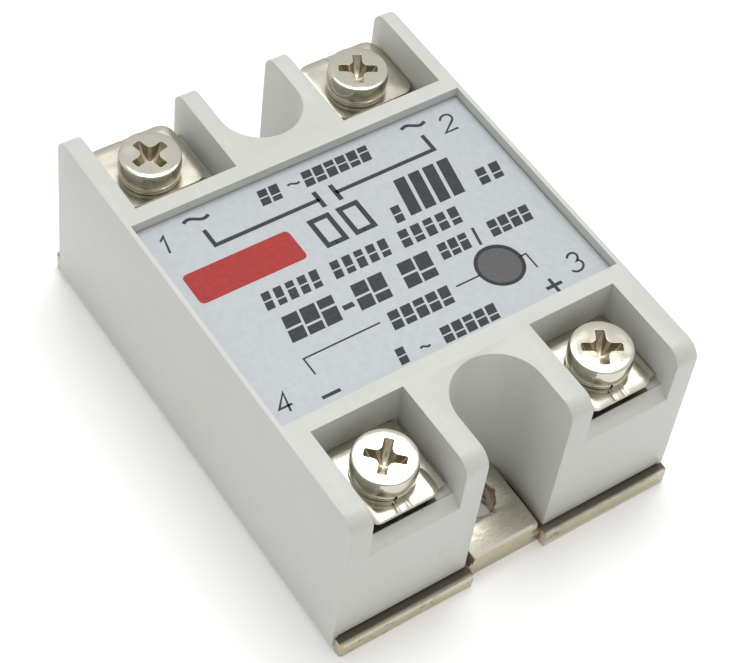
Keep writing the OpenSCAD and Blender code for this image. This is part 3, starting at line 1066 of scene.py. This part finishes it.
@dataclass
class ScrewTerminal:
    """One terminal: cross-recessed screw, split spring washer, saddle clamp, strip and nut."""

    nodes: Nodes
    number: int
    side: Side
    end: End
    recess_turn_deg: float
    split_deg: float
    x_mm: float = 14.1
    y_mm: float = 23.7
    head_r: float = 3.65
    head_z: float = 20.2
    top_z: float = 22.5
    thread_r: float = 1.93
    pitch: float = 0.7
    tip_z: float = 10.7
    washer_r: float = 3.5
    washer_bore_r: float = 2.1
    clamp_left: float = -4.3
    clamp_right: float = 4.3
    clamp_front: float = -4.8
    clamp_back: float = 4.3
    clamp_corner: float = 1.25
    clamp_drop: float = 0.42
    clamp_cutaway: bool = True
    clamp_bore_r: float = 2.03
    screw_plate: Finish = NickelPlate(
        "nickel_plated_screw", base="D3D1C4", tarnish="AEA88F", roughness=0.09, dent_strength=0.05
    )
    clamp_plate: Finish = NickelPlate(
        "nickel_plated_strip", base="D3CFC1", tarnish="ABA48D", roughness=0.2, dent_mm=1.3
    )
    # A darker, browner, duller plate on the faces inside the cross recess.
    recess_darker_plate: Finish = NickelPlate(
        "darker_recess_plate", base="C6BEAA", tarnish="8A8070", roughness=0.33, tarnish_amount=0.6, dent_mm=0.5
    )
    nut_plate: Finish = NickelPlate("plated_nut", base="B9B5A8", tarnish="8F8872", roughness=0.3)
    # Height over the head's top, reach and half width of the arms, radius of the inner corners
    recess_rows: ClassVar[Rows] = (
        (0.4, 2.46, 0.62, 0.75),
        (0.0, 2.3, 0.54, 0.7),
        (-1.25, 1.66, 0.42, 0.55),
        (-1.75, 0.85, 0.3, 0.3),
    )

    def set_piece(self, piece: Piece, body: str, node: str) -> None:
        """Place a piece, let it ride on its body and stand for its frame node.

        Args:
            piece: The piece, built round the terminal's own axis, with -Y where the wire comes in.
            body: Name of the body that carries it, without the terminal's number.
            node: The frame node that it stands for, without the terminal's number.
        """
        at = Vector((self.side.value * self.x_mm * MM, self.end.value * self.y_mm * MM, 0))
        turn = math.pi if self.end is End.OUTPUT else 0.0
        piece.data.transform(Matrix.Translation(at) @ Matrix.Rotation(turn, 4, "Z"))
        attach(piece, f"{body}_{self.number}")
        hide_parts(f"{node}_{self.number}")
        LOG.info("built %s", piece.name)

    def recess_outline(self, reach: float, half: float, blend: float) -> list[Point2]:
        """Outline of the cross: four arms with rounded inner corners.

        Args:
            reach: Distance from the middle to an arm's tip in millimetres.
            half: Half width of an arm in millimetres.
            blend: Radius of the inner corners in millimetres.

        Returns:
            The corners in order.
        """
        ease = 0.14
        quarter = [(reach - ease, -half), (reach, -half + ease), (reach, half - ease), (reach - ease, half)]
        quarter += arc(half + blend, half + blend, blend, 270, 180, 5)
        points: list[Point2] = []
        for k in range(4):
            c, s = math.cos(k * math.pi / 2), math.sin(k * math.pi / 2)
            points += [(x * c - y * s, x * s + y * c) for x, y in quarter]
        return points

    def build_recess_tool(self) -> Piece:
        """Build the tapered cross that is cut from the head.

        Returns:
            The tool as a closed object.
        """
        mesh = bmesh.new()
        rows = [
            corners(mesh, ((x, y, self.top_z + up) for x, y in self.recess_outline(reach, half, blend)))
            for up, reach, half, blend in self.recess_rows
        ]
        mesh.faces.new(rows[0])
        skin(mesh, rows)
        (tip,) = corners(mesh, [(0, 0, self.top_z - 2.0)])
        for k, corner in enumerate(rows[-1]):
            mesh.faces.new((corner, tip, rows[-1][(k + 1) % len(rows[-1])]))
        tool = make_object(f"recess_tool_{self.number}", mesh, [self.screw_plate])
        turn = self.recess_turn_deg - (180 if self.end is End.OUTPUT else 0)
        tool.data.transform(Matrix.Rotation(math.radians(turn), 4, "Z"))
        return tool

    def build_head(self) -> Piece:
        """Build the pan head with its eased rim and cross recess, in a darker plate inside.

        Returns:
            The head with a short stub of shank.
        """
        top, foot, r, stub_r, stub_z = self.top_z, self.head_z, self.head_r, self.thread_r - 0.05, self.head_z - 0.6
        mesh = bmesh.new()
        profile: list[Point2] = [(0, stub_z), (stub_r, stub_z), (stub_r, foot)]
        profile += [(r - 0.28, foot), (r - 0.12, foot + 0.05), (r - 0.02, foot + 0.2), (r, foot + 0.42)]
        profile += [(r, top - 0.9), (r - 0.05, top - 0.4)] + arc(r - 0.24, top - 0.18, 0.18, 8, 80, 4)
        profile += [(r - 0.42, top + 0.02), (r - 0.8, top + 0.03), (1.2, top + 0.03), (0, top + 0.03)]
        lathe(mesh, profile)
        head = make_object(f"terminal_screw_{self.number}_head", mesh, [self.screw_plate])
        cut(head, self.build_recess_tool())
        for face in head.data.polygons:
            middle = face.center / MM
            sunk = top - 1.95 < middle.z < top - 0.02 and middle.xy.length < 2.6
            face.material_index = 1 if sunk else 0
        return head

    def build_shank(self, mesh: Mesh) -> None:
        """Add the threaded shank as one closed winding surface.

        Args:
            mesh: The bmesh it goes into.
        """
        around, per_turn = 40, 6
        low, high = self.tip_z, self.head_z - 0.3
        count = int((high - low) / self.pitch * per_turn)
        rows: list[Corners] = []
        for i in range(count + 1):
            up = (high - low) * i / count
            z = low + up
            fade = max(min(1.0, up / 0.8, (high - z) / 1.2), 0.0)
            taper = 0.42 * max(0.0, 1 - up / 0.5)
            phases = [(up / self.pitch - k / around) % 1.0 for k in range(around)]
            radii = [self.thread_r - 0.36 * abs(2 * phase - 1) ** 0.8 * fade - taper for phase in phases]
            rows.append(corners(mesh, (round_point(r, TURN * k / around, z) for k, r in enumerate(radii))))
        skin(mesh, rows)
        mesh.faces.new(reversed(rows[0]))
        mesh.faces.new(rows[-1])

    def build_screw(self) -> None:
        """Build the screw: recessed head over a threaded shank."""
        head = self.build_head()
        mesh = bmesh.new()
        mesh.from_mesh(head.data)
        bpy.data.objects.remove(head)
        bmesh.ops.remove_doubles(mesh, verts=mesh.verts, dist=0.002 * MM)
        self.build_shank(mesh)
        finishes = [self.screw_plate, self.recess_darker_plate]
        screw = make_object(f"terminal_screw_{self.number}_turned", mesh, finishes, sharp_deg=40)
        ease_edges(screw, 0.05, steps=2, angle_deg=42)
        self.set_piece(screw, "screw", "terminal_screw")

    def build_washer(self) -> None:
        """Build the split spring washer, wound a little so that one end stands proud."""
        low, high = (corner.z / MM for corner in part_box(f"lock_washer_{self.number}"))
        mesh = bmesh.new()
        steps, gap, spring = 80, math.radians(5), 0.06
        inner, outer, top, c = self.washer_bore_r, self.washer_r, high - low - spring, 0.13
        section = [(inner, c), (inner + c, 0), (outer - c, 0), (outer, c)]
        section += [(outer, top - c), (outer - c, top), (inner + c, top), (inner, top - c)]
        rows: list[Corners] = []
        for i in range(steps + 1):
            angle = math.radians(self.split_deg) + gap / 2 + (TURN - gap) * i / steps
            lift = low + spring * (i / steps) ** 3
            rows.append(corners(mesh, (round_point(r, angle + 0.02 * (z - 0.3), z + lift) for r, z in section)))
        skin(mesh, rows)
        mesh.faces.new(rows[0])
        mesh.faces.new(reversed(rows[-1]))
        washer = make_object(f"lock_washer_{self.number}_wound", mesh, [self.screw_plate], sharp_deg=50)
        self.set_piece(washer, "clamp", "lock_washer")

    def clamp_height(self, x: float, y: float) -> tuple[float, float]:
        """Underside and top of the clamp above its seat, at one point of its plan.

        Args:
            x: Local X in millimetres.
            y: Local Y in millimetres.

        Returns:
            The underside and the top in millimetres.
        """
        high, low, roll = 0.98, 0.0, 0.95
        flank = roll - min(x - self.clamp_left, self.clamp_right - x, roll)
        high -= self.clamp_drop * (flank / roll) ** 2
        lip = self.clamp_front + 1.1 - y
        if lip > 0:
            low += 0.4 * min(lip / 0.5, 1.0)
            high -= 0.14 * min(lip / 1.1, 1.0) ** 2
        groove = min(abs(x + 1.1), abs(x - 0.3))
        if lip > -0.4 and groove < 0.2:
            high -= 0.12 * (1 - groove / 0.2)
        if -1.1 < x < 0.3 and lip > -0.2:
            high -= 0.05
        return low, high

    def clamp_outline(self) -> list[Point2]:
        """Outline of the clamp in plan, with one inner corner cut away on the narrow ones.

        Returns:
            The corners in order.
        """
        r, left, right = self.clamp_corner, self.clamp_left, self.clamp_right
        front, back = self.clamp_front, self.clamp_back
        outline = arc(right - r, front + r, r, -90, 0, 8)
        if self.clamp_cutaway:
            inner = right - 1.5
            outline += arc(right - r, -1.0 - r, r, 0, 90, 6) + [(inner, -0.75)] + arc(inner - r, back - r, r, 0, 90, 6)
        else:
            outline += arc(right - r, back - r, r, 0, 90, 8)
        return outline + arc(left + r, back - r, r, 90, 180, 8) + arc(left + r, front + r, r, 180, 270, 8)

    def build_clamp(self) -> None:
        """Build the saddle clamp: a formed plate with rolled flanks and a grooved wire lip."""
        seat = min(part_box(f"saddle_clamp_{self.number}")[0].z / MM, 18.42)
        mesh = bmesh.new()
        mesh.faces.new(corners(mesh, ((x, y, 0) for x, y in self.clamp_outline())))
        grooves = (-1.25, -1.1, -0.95, 0.15, 0.3, 0.45)
        lips = [self.clamp_front + d for d in (1.1, 1.3, 1.5, 0.6, 0.3)]
        for axis, extra in (((1, 0, 0), grooves), ((0, 1, 0), lips)):
            for at in [k * 0.3 for k in range(-22, 22)] + list(extra):
                geometry = mesh.verts[:] + mesh.edges[:] + mesh.faces[:]
                bmesh.ops.bisect_plane(mesh, geom=geometry, plane_co=Vector(axis) * at * MM, plane_no=axis)
        bmesh.ops.remove_doubles(mesh, verts=mesh.verts, dist=0.02 * MM)
        inside = [v for v in mesh.verts if v.co.length < 2.35 * MM]
        bmesh.ops.delete(mesh, geom=inside, context="VERTS")
        rim = [e for e in mesh.edges if e.is_boundary and (e.verts[0].co + e.verts[1].co).length < 6.4 * MM]
        for item in bmesh.ops.extrude_edge_only(mesh, edges=rim)["geom"]:
            if isinstance(item, bmesh.types.BMVert):
                item.co = item.co.normalized() * self.clamp_bore_r * MM
        sheet, border = list(mesh.faces), [e for e in mesh.edges if e.is_boundary]
        under = {v: mesh.verts.new(v.co) for v in list(mesh.verts)}
        for face in sheet:
            mesh.faces.new([under[v] for v in reversed(face.verts)])
        for one, two in (edge.verts for edge in border):
            mesh.faces.new((one, two, under[two], under[one]))
        for upper, lower in under.items():
            low, high = self.clamp_height(upper.co.x / MM, upper.co.y / MM)
            upper.co.z, lower.co.z = (seat + high) * MM, (seat + low) * MM
        clamp = make_object(f"saddle_clamp_{self.number}_formed", mesh, [self.clamp_plate], sharp_deg=50)
        ease_edges(clamp, 0.16, steps=3, angle_deg=50)
        self.set_piece(clamp, "clamp", "saddle_clamp")

    def build(self) -> None:
        """Plate the strip and the nut, and build the screw, the washer and the clamp."""
        dress_frame_node(self.nodes[f"terminal_strip_{self.number}"], self.clamp_plate, 0.12)
        dress_frame_node(self.nodes[f"terminal_nut_{self.number}"], self.nut_plate, 0.15)
        self.build_screw()
        self.build_washer()
        self.build_clamp()


@dataclass
class Electronics:
    """What the closed housing holds: board, optocoupler, power stage, snubber and fill."""

    nodes: Nodes
    edge_mm: float = 0.12
    fill: Finish = CastResin("black_epoxy_fill", base="1E1E20", mottle="2C2C2F", roughness=0.3, filler_mm=0.8)
    alumina: Finish = CastResin("fired_alumina", base="E6E2D8", mottle="D9D5CA", roughness=0.7, filler_mm=0.2)
    copper: Finish = DrawnCopper("rolled_copper")
    snubber: Finish = BandedLacquer(
        "grey_power_resistor", body="8D9BA3", rings=("7A3B1E", "1F1F1F", "1F1F1F"), centre_mm=8, length_mm=10
    )
    gate: Finish = BandedLacquer("small_resistor", rings=("C27A1E", "C27A1E", "7A3B1E"), centre_mm=11, length_mm=6)
    diode: Finish = BandedLacquer("glass_diode", body="A4502E", rings=("1A1A1A",), centre_mm=-7.5, length_mm=4.2)

    def dress(self) -> None:
        """Give every inner node its finish, and soft edges to all but the fill."""
        finishes: dict[str, Finish] = {
            "circuit_board": MaskedLaminate("masked_glass_epoxy"),
            "potting_compound": self.fill,
            "ceramic_insulator": self.alumina,
            "power_triac": CastResin("black_moulded_epoxy", base="242426", mottle="303033", roughness=0.55),
            "bus_lead_1": self.copper,
            "bus_lead_2": self.copper,
            "optocoupler": CastResin("white_moulded_epoxy", base="E3E0D7", mottle="D6D3C9", roughness=0.5),
            "snubber_capacitor": CastResin("yellow_film_box", base="C79A2B", mottle="B98C22", roughness=0.3),
            "snubber_resistor": self.snubber,
            "gate_resistor": self.gate,
            "input_resistors": BandedLacquer("input_resistor", centre_mm=-9, length_mm=6.3),
            "input_diode": self.diode,
            "input_transistor": CastResin("black_transistor_epoxy", base="1D1D1F", mottle="2A2A2C", roughness=0.5),
        }
        for name, finish in finishes.items():
            width = 0 if finish is self.fill else self.edge_mm
            dress_frame_node(self.nodes[name], finish, width, angle_deg=40)
        LOG.info("inner parts dressed")


@dataclass
class Studio:
    """White paper, one soft overhead light, pale surroundings and the camera."""

    azimuth_deg: float = -40.725
    elevation_deg: float = 51.844
    roll_deg: float = 8.721
    distance_mm: float = 219.0
    aim_mm: tuple[float, float, float] = (-7.605, -10.733, 24.515)
    lens_mm: float = 101.57
    floor_m: float = 2.4
    softbox_at_m: tuple[float, float, float] = (0.26, 0.3, 0.98)
    softbox_m: float = 0.5
    softbox_w: float = 4.1
    softbox_colour: str = "FFFFFD"
    sky_strength: float = 0.95
    paper: Finish = MattPaper("white_paper")
    # Height on the sky and its colour there
    sky: ClassVar[tuple[tuple[float, str], ...]] = (
        (0.0, "BAB9B7"),
        (0.2, "CBCAC9"),
        (0.45, "DCDBDA"),
        (0.7, "ECEBE9"),
        (1.0, "F7F7F7"),
    )

    @property
    def backward(self) -> Vector:
        """Direction from the object to the camera."""
        a, e = math.radians(self.azimuth_deg), math.radians(self.elevation_deg)
        return Vector((math.sin(a) * math.cos(e), -math.cos(a) * math.cos(e), math.sin(e)))

    def build_floor(self) -> None:
        """Lay the paper under the plate."""
        mesh = bmesh.new()
        bmesh.ops.create_grid(mesh, x_segments=8, y_segments=8, size=self.floor_m / 2)
        floor = make_object("floor_paper", mesh, [self.paper])
        floor.location.z = -0.02 * MM

    def build_camera(self) -> None:
        """Set the camera at its angle, with its small roll."""
        a, roll = math.radians(self.azimuth_deg), math.radians(self.roll_deg)
        right = Vector((math.cos(a), math.sin(a), 0))
        up = self.backward.cross(right)
        turned_right = right * math.cos(roll) + up * math.sin(roll)
        turned_up = up * math.cos(roll) - right * math.sin(roll)
        lens = bpy.data.cameras.new("camera")
        lens.lens, lens.sensor_width = self.lens_mm, 36
        lens.clip_start, lens.clip_end = 0.005, 20
        camera = bpy.data.objects.new("camera", lens)
        turn = Matrix((turned_right, turned_up, self.backward)).transposed().to_4x4()
        camera.matrix_world = Matrix.Translation((Vector(self.aim_mm) + self.backward * self.distance_mm) * MM) @ turn
        bpy.context.scene.collection.objects.link(camera)
        bpy.context.scene.camera = camera

    def build_softbox(self) -> None:
        """Hang the softbox behind and above, facing the object."""
        light = bpy.data.lights.new("softbox_back", "AREA")
        light.shape, light.size, light.size_y = "RECTANGLE", self.softbox_m, self.softbox_m
        light.energy = self.softbox_w
        light.color = linear(self.softbox_colour)[:3]
        lamp = bpy.data.objects.new("softbox_back", light)
        lamp.location = self.softbox_at_m
        lamp.rotation_mode = "QUATERNION"
        lamp.rotation_quaternion = (Vector((0, 0, 0.01)) - lamp.location).to_track_quat("-Z", "Y")
        bpy.context.scene.collection.objects.link(lamp)

    def build_world(self) -> None:
        """Surroundings: dim low down, bright overhead, with a dark patch where the maker stands."""
        world = bpy.data.worlds.new("surroundings")
        world.use_nodes = True
        tree = world.node_tree
        tree.nodes.clear()
        place = add_node(tree, "TexCoord").outputs["Generated"]
        ramp = add_node(tree, "ValToRGB", [add_node(tree, "SeparateXYZ", [place]).outputs["Z"]])
        ramp_stops(ramp, [(height, linear(code)) for height, code in self.sky])
        aligned = add_node(tree, "VectorMath", [place, self.backward], operation="DOT_PRODUCT")
        person = add_node(tree, "MapRange", [aligned, 0.95, 0.975, 1.0, 0.12])
        dimmed = add_node(tree, "Mix", [1.0, ramp, person], data_type="RGBA", blend_type="MULTIPLY")
        back = add_node(tree, "Background", {"Color": dimmed, "Strength": self.sky_strength})
        add_node(tree, "OutputWorld", [back])
        bpy.context.scene.world = world

    def build(self) -> None:
        """Build the camera, the floor, the light and the surroundings."""
        settings = bpy.context.scene.view_settings
        settings.view_transform, settings.look = "Standard", "None"
        self.build_camera()
        self.build_floor()
        self.build_softbox()
        self.build_world()
        LOG.info("studio ready")


def terminals(nodes: Nodes) -> list[ScrewTerminal]:
    """The four terminals: narrow clamps at the input end, wide ones at the output end.

    Args:
        nodes: The frame's node objects.

    Returns:
        The terminals in the order of their numbers.
    """
    wide = {"clamp_front": -6.0, "clamp_back": 3.7, "clamp_corner": 1.8, "clamp_drop": 0.22, "clamp_cutaway": False}
    return [
        ScrewTerminal(nodes, 1, Side.LEFT, End.OUTPUT, 14.0, 200.0, clamp_left=-5.75, clamp_right=5.4, **wide),
        ScrewTerminal(nodes, 2, Side.RIGHT, End.OUTPUT, 60.0, 235.0, clamp_left=-6.25, clamp_right=4.9, **wide),
        ScrewTerminal(nodes, 3, Side.RIGHT, End.INPUT, 60.0, 257.0),
        ScrewTerminal(nodes, 4, Side.LEFT, End.INPUT, 46.0, 258.0),
    ]


def main() -> None:
    """Load the frame, build and dress every sub-assembly, and set the studio."""
    logging.basicConfig(level=logging.INFO, format="%(name)s: %(message)s")
    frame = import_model()
    nodes: Nodes = frame["nodes"]
    Studio().build()
    Housing(nodes).dress()
    BasePlate(nodes).dress()
    LabelPanel(nodes).build()
    StatusIndicator(nodes).build()
    for terminal in terminals(nodes):
        terminal.build()
    Electronics(nodes).dress()


if __name__ == "__main__":
    main()
